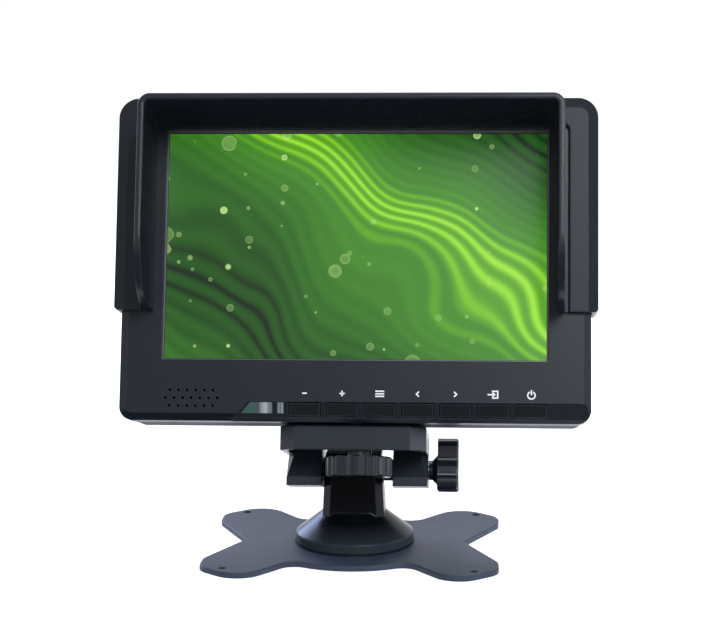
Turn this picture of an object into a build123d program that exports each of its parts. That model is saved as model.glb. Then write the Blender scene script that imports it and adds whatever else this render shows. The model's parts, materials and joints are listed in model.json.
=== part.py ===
from build123d import *
import os
from math import cos, pi, radians, sin, tan

# Camera field monitor with a slip-on sun hood, on a tilting desk stand.
# Millimetres. +X is the viewer's right, -Y points at the viewer, +Z is up.
# The origin is on the table, on the stand's swivel axis.

# ---- driving dimensions ---------------------------------------------------

# how the pieces meet
running_gap = 0.05        # radial clearance of a shaft in its bore
face_gap = 0.2            # between faces that turn or slide past each other
slide_gap = 0.25          # between the hood and the housing it slips over

# base plate
pad_thickness = 0.8       # the pads are let into the underside
pad_radius = 6.0
pad_inset_x = 7.0         # from the fixing hole towards the centre
pad_inset_y = 9.5
plate_thickness = 2.2
hole_spacing_x = 100.0    # fixing holes in the four lobes
hole_spacing_y = 86.2
fixing_hole_radius = 1.6
plate_hub_radius = 38.4
plate_edge_bevel = 0.5
notch_half_width = 45.7   # apex of the notch between two lobes of one side
notch_round = 3.0
lobe_wide_in_x = 6.0      # the lobe's large round, inwards from its fixing hole
lobe_wide_in_y = 4.7
lobe_wide_radius = 11.6
lobe_side_out = 0.9       # the round at its outer side
lobe_side_in = 7.1
lobe_side_radius = 9.0
lobe_tip_out = 1.8        # the small round towards the notch
lobe_tip_in = 12.4
lobe_tip_radius = 8.0
valley_x = 23.0           # where a lobe leaves the hub
valley_y = 27.5
valley_round = 7.0

# swivel
bearing_radius = 24.9
bearing_thickness = 0.4
rim_radius = 24.4
rim_height = 3.8
rim_round = 0.6
swivel_gap = 0.2
swivel_screw_radius = 3.0
swivel_head_radius = 4.8
swivel_screw_length = 15.0
swivel_slot = 0.9

# column
cone_slope = 38.0         # degrees, from the rim up to the post
cone_top_radius = 12.0    # of the flat top that the post stands on
post_width = 25.3         # at its foot
post_depth = 19.2
post_draft = 0.05         # each side draws in by this much for each millimetre up
post_corner = 3.0         # chamfer of the post's corners
post_rise = 7.5           # post above the tilt axis
post_top_round = 6.0
post_boss_radius = 5.2
post_boss_step = 0.52

# tilt head
tilt_axis_z = 32.4
rest_tilt = 16.8          # the screen leans back by this angle
head_centre_x = 2.0       # the spacer at the knob's side moves the head over
bolt_radius = 3.0
bolt_head_flats = 10.0
bolt_head_height = 4.0
spacer_thickness = 4.0
spacer_radius = 4.4
jaw_width = 14.2
jaw_front = 14.0
jaw_neck = 9.0            # the jaw's front under the platform
jaw_rear = 10.0
jaw_bottom = 7.3
jaw_band = 3.4            # upright band along the foot of the jaw's front
jaw_slope_top = 9.0
jaw_heel_round = 6.0
jaw_facet_wide = 9.0      # outer corner of the jaw, cut away at its top
jaw_facet_deep = 18.0
jaw_facet_foot = 0.6
platform_width = 58.8
platform_shift = -0.8     # the tray sits this far from the middle of the jaws
platform_nose = 7.6       # tray in front of the stud
platform_rear = 14.0
platform_top = 16.0
platform_plate = 3.2
platform_skirt = 2.6
platform_bottom = 6.1
platform_corner = 6.4
platform_rear_bottom = 12.0
mat_thickness = 0.6
mat_inset = 3.0
mat_gap = 0.1

# tilt knob
knob_collar_radius = 4.0
knob_gap = 3.6            # collar between the jaw and the lobes
knob_width = 8.6
knob_lobe_radius = 3.6
knob_lobe_pitch = 9.7     # lobe centres from the axis
knob_hub_radius = 6.4
knob_lobes = 3
knob_bolt_depth = 6.5

# tripod thumbwheel
stud_offset = 1.6         # to the right of the head's middle
stud_radius = 3.175       # quarter-inch thread
stud_bite = 6.0           # thread inside the monitor
wheel_radius = 13.4
wheel_clearance = 3.4     # between the wheel and the upright post
wheel_bottom = -4.3
wheel_thickness = 8.0
wheel_floor = 1.5         # wheel left under the stud
wheel_flutes = 16
flute_radius = 1.9
flute_depth = 0.8
wheel_boss_radius = 5.0
insert_radius = 4.4
insert_wall = 1.2
insert_length = 8.0

# monitor housing
border_side = 17.55       # front border beside the screen
border_top = 11.16
body_depth = 33.0
shell_depth = 11.0        # depth of the front shell
body_corner = 5.4
wall = 2.2
face_wall = 2.4
bevel_across = 3.0
bevel_deep = 2.0
cover_inset = 1.7         # rear cover inside the front shell's outline, but for its foot
cover_foot = 0.2
seam_gap = 0.1
cover_overlap = 1.5       # the cover's tongue inside the front shell
cover_taper = 0.8         # each side draws in towards the back
cover_corner = 4.2
cover_back_round = 1.4

# screen
active_width = 152.4
active_height = 91.44
active_bottom = 25.0      # above the housing's underside
window_margin = 0.7
window_margin_top = 1.5
frame_opening = 0.2       # metal screen frame's opening beyond the lit area
module_margin_x = 5.0
module_margin_z = 4.4
frame_sheet = 0.5
glass_thickness = 1.8
backlight_thickness = 3.8

# key strip
strip_top = 7.7
strip_step = 0.7          # recess at the strip's upper edge
strip_slope = 1.5         # further recess at its lower edge
strip_round_z = 1.4
strip_left_slant = 8.8
sill_depth = 5.4
sill_margin = 0.8         # sill beyond the strip's left end
sill_height = 9.5
keys_right_inset = 17.25  # from the housing's side to the last key
key_spacing = 2.35
key_height = 5.4
key_centre_z = 4.7
key_proud = 0.45
key_clearance = 0.2
key_flange = 0.6
key_flange_thickness = 0.8
key_travel = 0.4
key_edge = 0.4
key_names = ["minus", "plus", "menu", "left", "right", "input", "power"]
window_width = 12.4       # remote control window
window_slant = 3.6
window_bottom_z = 3.2
window_top_z = 7.5
pipe_width = 2.4          # status light
lens_spacing = 2.1
lens_gap = 0.1

# speaker
speaker_inset = 29.15     # from the housing's side to the speaker's middle
speaker_z = 8.9
speaker_hole_radius = 0.6
speaker_pitch = 3.46
speaker_row = 3.1
speaker_rows = [6, 7, 6]
speaker_width = 27.0
speaker_height = 12.0
speaker_depth = 5.0

# boards
key_board_y = 8.2
key_board_thickness = 1.2
key_board_reach = 3.5     # beyond the last key
key_board_top = 16.5
switch_width = 4.5
switch_height = 3.4
main_board_y = 20.0
main_board_thickness = 1.6
main_board_inset_x = 27.75
main_board_bottom = 13.0
main_board_top_inset = 36.1
post_radius = 3.0

# rear sockets, left to right seen from behind
socket_z = 24.0
hdmi_x = 34.0
hdmi_width = 15.2
hdmi_height = 5.8
av_x = 14.0
phone_x = 2.0
jack_radius = 3.2
jack_bore_radius = 1.8
dc_x = -12.0
dc_radius = 4.6
dc_bore_radius = 3.1
dc_pin_radius = 1.0
socket_gap = 0.15

# rear cover details
vent_length = 26.0
vent_width = 1.6
vent_pitch = 4.4
vent_count = 7
vent_x = 48.0
vent_top_inset = 29.1
screw_inset = 8.8         # housing screws, from the housing's sides
screw_end_inset = 10.0    # and from its top and underside
screw_head_radius = 2.5
screw_head_height = 1.6
screw_shank_radius = 1.2
screw_recess = 2.6
screw_boss_radius = 2.9
screw_bite = 5.0          # thread inside the front shell's posts

# sun hood
hood_wall = 2.45
hood_foot = 18.75         # above the foot of the screen
hood_front = 3.0          # flange in front of the screen side
flange_thickness = 1.6
flange_bevel = 4.2
flange_bevel_deep = 2.0
hood_rear = 15.0
hook_depth = 1.8
arm_corner = 1.2
canopy_side = 7.0         # beside the screen, at the flange
canopy_draw_in = 1.3      # its sides draw in by this much to the front
canopy_above = 4.06       # above the screen, at the flange
canopy_rise = 2.3         # its roof climbs by this much to the front
canopy_wall = 2.6
canopy_depth = 42.5
canopy_corner = 4.6
canopy_heel_radius = 25.0
canopy_lip = 1.1
slot_width = 1.4          # dark slot between canopy and flange
slot_bevel = 0.6
canopy_rim_round = 0.8

# ---- values worked out from them --------------------------------------------

bearing_top_z = plate_thickness + bearing_thickness
rim_bottom_z = bearing_top_z + swivel_gap
rim_top_z = rim_bottom_z + rim_height
cone_top_z = rim_top_z + (rim_radius - cone_top_radius) * tan(radians(cone_slope))
hole_x = hole_spacing_x / 2
hole_y = hole_spacing_y / 2

boss_half = post_width / 2 - post_draft * (tilt_axis_z - cone_top_z) + post_boss_step
left_jaw_x = -(boss_half + face_gap)
spacer_left_x = boss_half + face_gap
right_jaw_x = spacer_left_x + spacer_thickness
jaw_left_outer = left_jaw_x - jaw_width
jaw_right_outer = right_jaw_x + jaw_width
knob_left_x = jaw_right_outer + face_gap
lobes_left_x = knob_left_x + knob_gap

platform_x = head_centre_x + platform_shift
platform_underside = platform_top - platform_plate
mat_top = platform_top + mat_thickness
body_underside = mat_top + mat_gap
wheel_top = wheel_bottom + wheel_thickness
stud_x = head_centre_x + stud_offset
stud_forward = post_depth / 2 + wheel_clearance + wheel_radius
stud_depth = shell_depth + insert_radius + 2 * seam_gap
platform_front = stud_forward + platform_nose
bezel_forward = stud_forward + stud_depth

active_top = active_bottom + active_height
active_centre_z = (active_bottom + active_top) / 2
body_width = active_width + 2 * border_side
body_height = active_top + border_top
frame_width = active_width + 2 * (module_margin_x + frame_sheet)
frame_height = active_height + 2 * (module_margin_z + frame_sheet)
glass_y = face_wall + frame_sheet
backlight_y = glass_y + glass_thickness
module_back_y = backlight_y + backlight_thickness
inner_back_y = body_depth - wall
tongue_inset = wall + 2 * seam_gap
hook_reach = slide_gap + cover_inset - face_gap

speaker_x = speaker_inset - body_width / 2
strip_left_bottom = speaker_x + speaker_width / 2 + 1.0
strip_left_top = strip_left_bottom + strip_left_slant
window_left_x = strip_left_bottom + 1.5 * window_slant
window_right_x = window_left_x + window_width
pipe_left_x = window_right_x + lens_spacing
pipe_right_x = pipe_left_x + pipe_width
keys_left_x = pipe_right_x + lens_spacing
keys_right_x = body_width / 2 - keys_right_inset
key_pitch = (keys_right_x - keys_left_x + key_spacing) / len(key_names)
key_width = key_pitch - key_spacing
key_board_left = strip_left_bottom + lens_spacing
key_board_right = keys_right_x + key_board_reach
flange_front_y = sill_depth + running_gap
flange_back_y = flange_front_y + key_flange_thickness
key_room_y = flange_back_y + key_travel + face_gap
switch_top_y = flange_back_y + key_travel + running_gap

screw_seat_y = body_depth - screw_recess
screw_end_y = shell_depth - screw_bite
board_back_y = main_board_y + main_board_thickness
board_half = body_width / 2 - main_board_inset_x
board_top_z = body_height - main_board_top_inset
vent_z = body_height - vent_top_inset
screw_places = [(side * (body_width / 2 - screw_inset), z) for side in (-1, 1)
                for z in (screw_end_inset, body_height / 2, body_height - screw_end_inset)]

hood_bottom_z = active_bottom + hood_foot
canopy_root_half = active_width / 2 + canopy_side
canopy_root_top_z = active_top + canopy_above
canopy_lip_front = slide_gap + canopy_lip
beyond = 2 * body_width   # further than any piece reaches


# ---- helpers ----------------------------------------------------------------

def block(x0, x1, y0, y1, z0, z1):
    """A box between two corners."""
    return Pos((x0 + x1) / 2, (y0 + y1) / 2, (z0 + z1) / 2) * Box(x1 - x0, y1 - y0, z1 - z0)


def rod_x(radius, x0, x1, y=0.0, z=0.0):
    """A round bar along X."""
    return Pos((x0 + x1) / 2, y, z) * Rot(0, 90, 0) * Cylinder(radius, x1 - x0)


def rod_y(radius, y0, y1, x=0.0, z=0.0):
    """A round bar along Y."""
    return Pos(x, (y0 + y1) / 2, z) * Rot(90, 0, 0) * Cylinder(radius, y1 - y0)


def rod_z(radius, z0, z1, x=0.0, y=0.0):
    """A round bar along Z."""
    return Pos(x, y, (z0 + z1) / 2) * Cylinder(radius, z1 - z0)


def front_slab(sketch, y0, y1):
    """Extrude a sketch of the front view (x, z) between two depths."""
    return extrude(Plane.XZ.offset(-y1) * sketch, amount=y1 - y0, dir=(0, -1, 0))


def side_slab(sketch, x0, x1):
    """Extrude a sketch of the side view (y, z) between two widths."""
    return extrude(Plane.YZ.offset(x0) * sketch, amount=x1 - x0, dir=(1, 0, 0))


def outline(*points):
    """A closed polygon that keeps its points where they are."""
    return Polygon(*points, align=None)


def to_head(part):
    """Place a piece drawn about the tilt axis, with the head level."""
    return Pos(0, 0, tilt_axis_z) * Rot(-rest_tilt, 0, 0) * part


def to_monitor(part):
    """Place a piece drawn from the foot of the screen side, upright."""
    return to_head(Pos(head_centre_x, -bezel_forward, body_underside) * part)


def body_outline(margin):
    """The housing's front view, larger all round by a margin."""
    shape = RectangleRounded(body_width + 2 * margin, body_height + 2 * margin, body_corner + margin)
    return Pos(0, body_height / 2) * shape


# ---- base -------------------------------------------------------------------

def base_outline():
    """Four lobes round a hub; one lobe is drawn and mirrored."""
    wide = Pos(hole_x - lobe_wide_in_x, hole_y - lobe_wide_in_y) * Circle(lobe_wide_radius)
    side = Pos(hole_x + lobe_side_out, hole_y - lobe_side_in) * Circle(lobe_side_radius)
    tip = Pos(hole_x + lobe_tip_out, hole_y - lobe_tip_in) * Circle(lobe_tip_radius)
    root = outline((0, 0), (notch_half_width, 0), (valley_x, valley_y))
    lobe = make_hull(wide.edges() + side.edges() + tip.edges() + root.edges())
    pair = lobe + mirror(lobe, Plane.YZ)
    plan = Circle(plate_hub_radius) + pair + mirror(pair, Plane.XZ)
    notches = [v for v in plan.vertices() if abs(v.Y) < 0.01 and abs(v.X) > valley_x]
    plan = fillet(notches, notch_round)
    valleys = [v for v in plan.vertices() if abs(v.X) < valley_x + 4 and abs(v.Y) > valley_y - 4]
    return fillet(valleys, valley_round)


def base_pad_places():
    """Centres of the four pads, one under each lobe."""
    return [(sx * (hole_x - pad_inset_x), sy * (hole_y - pad_inset_y)) for sx in (-1, 1) for sy in (-1, 1)]


def make_base_plate():
    plate = extrude(base_outline(), amount=plate_thickness)
    plate = chamfer(plate.faces().sort_by(Axis.Z)[-1].edges(), plate_edge_bevel)
    for sx in (-1, 1):
        for sy in (-1, 1):
            plate -= rod_z(fixing_hole_radius, -1, plate_thickness + 1, sx * hole_x, sy * hole_y)
    for x, y in base_pad_places():
        plate -= rod_z(pad_radius + running_gap, -1, pad_thickness, x, y)
    plate -= rod_z(swivel_screw_radius + running_gap, -1, plate_thickness + 1)
    return plate - screw_head_cone(running_gap)


def screw_head_cone(clearance):
    """The countersunk head of the swivel screw, or its seat."""
    depth = swivel_head_radius - swivel_screw_radius
    cone = Cone(swivel_head_radius + clearance, swivel_screw_radius + clearance, depth)
    return Pos(0, 0, depth / 2) * cone


def make_base_pads():
    pads = Part()
    for x, y in base_pad_places():
        pads += rod_z(pad_radius, 0, pad_thickness, x, y)
    return pads


def make_bearing_disc():
    disc = rod_z(bearing_radius, plate_thickness, bearing_top_z)
    return disc - rod_z(swivel_screw_radius + running_gap, 0, bearing_top_z + 1)


def make_swivel_screw():
    shank = rod_z(swivel_screw_radius, swivel_head_radius - swivel_screw_radius, swivel_screw_length)
    slot = block(-swivel_slot / 2, swivel_slot / 2, -swivel_head_radius, swivel_head_radius, -1, swivel_slot)
    return screw_head_cone(0) + shank - slot


# ---- column -----------------------------------------------------------------

def post_section(z):
    """The post's section at a height, with its corners cut."""
    drawn_in = 2 * post_draft * (z - cone_top_z)
    section = Rectangle(post_width - drawn_in, post_depth - drawn_in)
    return Pos(0, 0, z) * chamfer(section.vertices(), post_corner)


def make_column():
    profile = outline((0, rim_bottom_z), (rim_radius, rim_bottom_z), (rim_radius, rim_top_z),
                      (cone_top_radius, cone_top_z), (0, cone_top_z))
    foot = revolve(Plane.XZ * profile, Axis.Z)
    foot = fillet(foot.edges().filter_by(GeomType.CIRCLE).group_by(Axis.Z)[1], rim_round)
    post_top_z = tilt_axis_z + post_rise
    post = loft([post_section(rim_top_z), post_section(post_top_z)])
    ridge = [e for e in post.edges().filter_by(Axis.X) if e.center().Z > post_top_z - 0.1]
    post = fillet(ridge, post_top_round)
    column = foot + post + rod_x(post_boss_radius, -boss_half, boss_half, z=tilt_axis_z)
    column -= rod_x(bolt_radius + running_gap, -beyond, beyond, z=tilt_axis_z)
    return column - rod_z(swivel_screw_radius, 0, swivel_screw_length)


# ---- tilt head --------------------------------------------------------------

def platform_outline(inset):
    """The platform's plan, with its corners cut, level with the tilt axis."""
    width = platform_width - 2 * inset
    length = platform_front + platform_rear - 2 * inset
    plan = Rectangle(width, length)
    plan = chamfer(plan.vertices(), platform_corner)
    return Pos(platform_x, (platform_rear - platform_front) / 2) * plan


def jaw_facet(x_outer, side, wide, deep):
    """Plan of what a jaw's outer front corner loses at one height."""
    x_out = x_outer + side
    front = -jaw_front - 1.0
    return outline((x_out, front), (x_out, front + deep), (x_outer, front + deep),
                   (x_outer - side * wide, front))


def jaw(x_inner, side):
    """One jaw beside the column; side is -1 for the left and 1 for the right."""
    top = platform_underside + 0.5
    band_top = jaw_band - jaw_bottom
    profile = outline((jaw_rear, top), (jaw_rear, -jaw_bottom), (-jaw_front, -jaw_bottom),
                      (-jaw_front, band_top), (-jaw_neck, jaw_slope_top), (-jaw_neck, top))
    x_outer = x_inner + side * jaw_width
    body = side_slab(profile, min(x_inner, x_outer), max(x_inner, x_outer))
    heel = body.edges().filter_by(Axis.X).sort_by(Axis.Z)[0:2].sort_by(Axis.Y)[-1]
    body = fillet(heel, jaw_heel_round)
    low = Pos(0, 0, band_top) * jaw_facet(x_outer, side, jaw_facet_foot, jaw_facet_foot + 1.0)
    high = Pos(0, 0, top + 1.0) * jaw_facet(x_outer, side, jaw_facet_wide, jaw_facet_deep)
    return body - loft([low, high])


def make_tilt_head():
    tray = extrude(Pos(0, 0, platform_bottom) * platform_outline(0), amount=platform_top - platform_bottom)
    tray = chamfer(tray.faces().sort_by(Axis.Z)[-1].edges(), 0.6)
    tray -= extrude(Pos(0, 0, platform_bottom - 1) * platform_outline(platform_skirt),
                    amount=platform_underside - platform_bottom + 1)
    tray -= block(-beyond, beyond, jaw_rear - 4, platform_rear + 1, platform_bottom - 1, platform_rear_bottom)
    head = tray + jaw(left_jaw_x, -1) + jaw(right_jaw_x, 1)
    head -= rod_x(bolt_radius, -beyond, beyond)
    head -= bolt_hexagon(jaw_left_outer - beyond, jaw_left_outer + bolt_head_height)
    return head - rod_z(stud_radius + 0.3, 0, platform_top + 1, stud_x, -stud_forward)


def make_head_mat():
    mat = extrude(Pos(0, 0, platform_top) * platform_outline(mat_inset), amount=mat_thickness)
    return mat - rod_z(stud_radius + 1.2, 0, mat_top + 1, stud_x, -stud_forward)


def bolt_hexagon(x0, x1):
    """The bolt's six-sided head, or its pocket in the left jaw."""
    hexagon = RegularPolygon(bolt_head_flats / 3 ** 0.5, 6)
    return side_slab(hexagon, x0, x1)


def make_tilt_bolt():
    head = bolt_hexagon(jaw_left_outer, jaw_left_outer + bolt_head_height)
    return head + rod_x(bolt_radius, jaw_left_outer + bolt_head_height, lobes_left_x + knob_bolt_depth)


def make_spacer():
    ring = rod_x(spacer_radius, spacer_left_x, right_jaw_x)
    return ring - rod_x(bolt_radius, spacer_left_x - 1, right_jaw_x + 1)


def make_tilt_knob():
    plan = Circle(knob_hub_radius)
    for i in range(knob_lobes):
        turn = 90 + 360 * i / knob_lobes
        arm = Rot(0, 0, turn) * Pos(knob_lobe_pitch / 2, 0) * Rectangle(knob_lobe_pitch, 2 * knob_lobe_radius)
        plan += arm + Pos(knob_lobe_pitch * cos(radians(turn)), knob_lobe_pitch * sin(radians(turn))) * \
            Circle(knob_lobe_radius)
    lobes = extrude(Plane.YZ.offset(lobes_left_x) * plan, amount=knob_width)
    lobes = chamfer(lobes.faces().sort_by(Axis.X)[-1].edges(), 0.7)
    collar = rod_x(knob_collar_radius, knob_left_x, lobes_left_x)
    cone_length = knob_gap * 0.6
    cone = Pos(lobes_left_x - cone_length / 2, 0, 0) * Rot(0, 90, 0) * \
        Cone(knob_collar_radius, knob_hub_radius, cone_length)
    knob = lobes + collar + cone
    return knob - rod_x(bolt_radius + running_gap, knob_left_x - 1, lobes_left_x + knob_bolt_depth + face_gap)


def make_thumbwheel():
    wheel = rod_z(wheel_radius, wheel_bottom, wheel_top)
    wheel = chamfer(wheel.edges().filter_by(GeomType.CIRCLE), 0.6)
    for i in range(wheel_flutes):
        turn = 2 * pi * (i + 0.5) / wheel_flutes
        reach = wheel_radius + flute_radius - flute_depth
        wheel -= rod_z(flute_radius, wheel_bottom - 1, wheel_top + 1, reach * cos(turn), reach * sin(turn))
    wheel += rod_z(wheel_boss_radius, wheel_top, platform_underside - face_gap)
    wheel -= rod_z(stud_radius, wheel_bottom + wheel_floor, platform_underside)
    return Pos(stud_x, -stud_forward, 0) * wheel


def make_tripod_stud():
    stud = rod_z(stud_radius, wheel_bottom + wheel_floor, body_underside + stud_bite)
    stud = chamfer(stud.edges().sort_by(Axis.Z)[-1], 0.7)
    return Pos(stud_x, -stud_forward, 0) * stud


# ---- monitor ----------------------------------------------------------------

def strip_cutter():
    """What the sloping key strip takes away from the front shell."""
    foot = strip_step + strip_slope
    profile = outline((-1.0, strip_top), (strip_step, strip_top), (foot, strip_round_z), (foot + 1.6, 0.0),
                      (foot + 1.6, -1.0), (-1.0, -1.0))
    bar = side_slab(profile, strip_left_bottom - 5, body_width / 2 + 1)
    ends = outline((strip_left_top, strip_top + 1), (strip_left_bottom, -2), (beyond, -2),
                   (beyond, strip_top + 1))
    return bar & front_slab(ends, -2, 10)


def strip_y(z):
    """Depth of the strip's surface at a height."""
    return strip_step + strip_slope * (strip_top - z) / (strip_top - strip_round_z)


def key_centre_x(i):
    return keys_left_x + key_width / 2 + i * key_pitch


def remote_window_outline(gap):
    """The remote control window's front view, with its slanted left end."""
    return outline((window_left_x - gap, window_bottom_z - gap),
                   (window_right_x + gap, window_bottom_z - gap),
                   (window_right_x + gap, window_top_z + gap),
                   (window_left_x + window_slant - gap, window_top_z + gap))


def speaker_hole_places():
    places = []
    for row, count in enumerate(speaker_rows):
        for i in range(count):
            places.append((speaker_x + (i - (count - 1) / 2) * speaker_pitch,
                           speaker_z + ((len(speaker_rows) - 1) / 2 - row) * speaker_row))
    return places


def make_front_bezel():
    shell = front_slab(body_outline(0), 0, shell_depth)
    rim = shell.faces().sort_by(Axis.Y)[0].edges()
    shell = chamfer(rim, bevel_across, bevel_deep, reference=shell.faces().sort_by(Axis.Y)[0])
    inner = Pos(0, body_height / 2) * RectangleRounded(body_width - 2 * wall, body_height - 2 * wall,
                                                      body_corner - wall)
    shell -= front_slab(inner, face_wall, shell_depth + 1)
    shell += block(strip_left_bottom - sill_margin, body_width / 2 - wall, face_wall / 2, sill_depth,
                   wall / 2, sill_height)
    shell -= strip_cutter()
    shell -= block(-active_width / 2 - window_margin, active_width / 2 + window_margin, -1, face_wall + 1,
                   active_bottom - window_margin, active_top + window_margin_top)
    for i in range(len(key_names)):
        half = key_width / 2 + key_clearance
        tall = key_height / 2 + key_clearance
        x = key_centre_x(i)
        shell -= block(x - half, x + half, -1, key_room_y, key_centre_z - tall, key_centre_z + tall)
    shell -= front_slab(remote_window_outline(lens_gap), -1, sill_depth + 1)
    shell -= block(pipe_left_x - lens_gap, pipe_right_x + lens_gap, -1, sill_depth + 1,
                   window_bottom_z - lens_gap, window_top_z + lens_gap)
    for x, z in speaker_hole_places():
        shell -= rod_y(speaker_hole_radius, -1, face_wall + 1, x, z)
    for x in (key_board_left + post_radius, key_board_right - post_radius):
        shell += rod_y(post_radius, face_wall - 0.5, key_board_y, x, key_board_top - post_radius)
    for x, z in screw_places:
        post = rod_y(screw_boss_radius, face_wall - 0.5, shell_depth, x, z)
        shell += post - rod_y(screw_shank_radius, screw_end_y, shell_depth + 1, x, z)
    return shell


def cover_outline(inset, foot_z):
    """The rear cover's outline from behind, inset at its sides and top."""
    width = body_width - 2 * inset
    height = body_height - inset - foot_z
    return Pos(0, foot_z + height / 2) * RectangleRounded(width, height, cover_corner)


def cover_form(inset, y0, y1):
    """The rear cover's outer form, or its hollow when inset; sides and top draw in to the back."""
    near = cover_outline(cover_inset + inset, cover_foot + inset)
    far = cover_outline(cover_inset + inset + cover_taper, cover_foot + inset)
    turn_y = shell_depth + 1
    return front_slab(near, y0, turn_y) + loft([Plane.XZ.offset(-turn_y) * near, Plane.XZ.offset(-y1) * far])


def make_rear_cover():
    tongue_start = shell_depth - cover_overlap
    cover = cover_form(0, shell_depth + seam_gap, body_depth)
    cover = fillet(cover.faces().sort_by(Axis.Y)[-1].edges(), cover_back_round)
    tongue = front_slab(cover_outline(tongue_inset, tongue_inset), tongue_start, shell_depth + 1)
    cover += tongue & block(-beyond, beyond, 0, body_depth, tongue_inset + cover_corner + 1, body_height)
    cover -= cover_form(wall, tongue_start - 1, inner_back_y)
    boss_top_z = insert_length + 2 * insert_wall
    cover += rod_z(insert_radius + insert_wall, wall + seam_gap, boss_top_z, stud_offset, stud_depth)
    cover -= rod_z(insert_radius, -1, insert_length, stud_offset, stud_depth)
    for i in range(vent_count):
        z = vent_z + (i - (vent_count - 1) / 2) * vent_pitch
        for x in (-vent_x, vent_x):
            slot = Pos(x, z) * SlotOverall(vent_length, vent_width)
            cover -= front_slab(slot, inner_back_y - 1, body_depth + 1)
    for x, z in screw_places:
        cover += rod_y(screw_boss_radius, shell_depth + seam_gap, inner_back_y + 0.2, x, z)
        cover -= rod_y(screw_head_radius + socket_gap, screw_seat_y, body_depth + 1, x, z)
        cover -= rod_y(screw_shank_radius + socket_gap, shell_depth - 1, body_depth, x, z)
    post_end_y = inner_back_y + 0.2
    for side in (-1, 1):
        x = side * (board_half - 2 * post_radius)
        for z in (main_board_bottom + 2 * post_radius, board_top_z - 2 * post_radius):
            cover += rod_y(post_radius, board_back_y, post_end_y, x, z)
        x = side * (board_half + 2 * post_radius)
        for z in (active_bottom - 1, active_top + 1):
            cover += rod_y(post_radius, module_back_y, post_end_y, x, z)
    back = inner_back_y - 1
    half_x = hdmi_width / 2 + socket_gap
    half_z = hdmi_height / 2 + socket_gap
    cover -= block(hdmi_x - half_x, hdmi_x + half_x, back, body_depth + 1,
                   socket_z - half_z, socket_z + half_z)
    for x, radius in ((av_x, jack_radius), (phone_x, jack_radius), (dc_x, dc_radius)):
        cover -= rod_y(radius + socket_gap, back, body_depth + 1, x, socket_z)
    return cover


def make_lcd_frame():
    half_x = frame_width / 2
    half_z = frame_height / 2
    low_z = active_centre_z - half_z
    high_z = active_centre_z + half_z
    frame = block(-half_x, half_x, face_wall, module_back_y, low_z, high_z)
    frame -= block(frame_sheet - half_x, half_x - frame_sheet, glass_y, module_back_y + 1,
                   low_z + frame_sheet, high_z - frame_sheet)
    half_x = active_width / 2 + frame_opening
    half_z = active_height / 2 + frame_opening
    return frame - block(-half_x, half_x, 0, glass_y + 1, active_centre_z - half_z, active_centre_z + half_z)


def module_layer(y0, y1):
    half_x = frame_width / 2 - frame_sheet
    half_z = frame_height / 2 - frame_sheet
    return block(-half_x, half_x, y0, y1, active_centre_z - half_z, active_centre_z + half_z)


def make_main_board():
    board = block(-board_half, board_half, main_board_y, board_back_y, main_board_bottom, board_top_z)
    chips = [(-30, 60, 16, 16), (20, 55, 12, 10), (-5, 78, 22, 8), (44, 72, 10, 14)]
    for x, z, w, h in chips:
        board += block(x - w / 2, x + w / 2, main_board_y - 1.4, main_board_y, z - h / 2, z + h / 2)
    return board


def make_key_board():
    board_back = key_board_y + key_board_thickness
    return block(key_board_left, key_board_right, key_board_y, board_back, wall + 0.3, key_board_top)


def make_tact_switches():
    switches = Part()
    for i in range(len(key_names)):
        x = key_centre_x(i)
        switches += block(x - switch_width / 2, x + switch_width / 2, switch_top_y + 0.5, key_board_y,
                          key_centre_z - switch_height / 2 + 0.3, key_centre_z + switch_height / 2 + 0.3)
        switches += rod_y(1.1, switch_top_y, switch_top_y + 0.6, x, key_centre_z + 0.3)
    return switches


def make_speaker():
    half = speaker_width / 2
    box = block(speaker_x - half, speaker_x + half, face_wall, face_wall + speaker_depth - 1.5,
                wall + 0.2, wall + 0.2 + speaker_height)
    magnet = rod_y(4.5, face_wall + speaker_depth - 2, face_wall + speaker_depth, speaker_x,
                   wall + 0.2 + speaker_height / 2)
    return box + magnet


def make_remote_window():
    lens = front_slab(remote_window_outline(0), strip_step, sill_depth)
    return lens - proud_cutter(0.0)


def proud_cutter(proud):
    """Everything in front of the strip's surface, moved out by an amount."""
    low, high = -2.0, strip_top + 3.0
    profile = outline((-6.0, high), (strip_y(high) - proud, high), (strip_y(low) - proud, low), (-6.0, low))
    return side_slab(profile, -beyond, beyond)


def make_light_pipe():
    pipe = block(pipe_left_x, pipe_right_x, 0, sill_depth, window_bottom_z, window_top_z)
    return pipe - proud_cutter(0.0)


def make_remote_receiver():
    x = (window_left_x + window_right_x) / 2 + 1
    lens = rod_y(1.6, sill_depth + 0.4, sill_depth + 1.6, x, key_centre_z + 0.6)
    case = block(x - 2.4, x + 2.4, sill_depth + 1.2, key_board_y, key_centre_z - 1.4, key_centre_z + 3.4)
    return lens + case


def make_status_led():
    x = (pipe_left_x + pipe_right_x) / 2
    return block(x - 0.9, x + 0.9, sill_depth + 0.2, key_board_y, key_centre_z - 0.2, key_centre_z + 1.6)


def make_key(i):
    x = key_centre_x(i)
    half = key_width / 2
    tall = key_height / 2
    cap = block(x - half, x + half, -2, flange_back_y, key_centre_z - tall, key_centre_z + tall)
    cap -= proud_cutter(key_proud)
    front = cap.faces().sort_by(Axis.Y)[0]
    cap = chamfer(front.edges(), key_edge)
    cap += block(x - half - key_flange, x + half + key_flange, flange_front_y, flange_back_y,
                 key_centre_z - tall + 0.9, key_centre_z + tall + key_flange)
    return cap


def make_tripod_insert():
    ring = rod_z(insert_radius, cover_foot, insert_length, stud_offset, stud_depth)
    return ring - rod_z(stud_radius + running_gap, 0, insert_length + 1, stud_offset, stud_depth)


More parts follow.
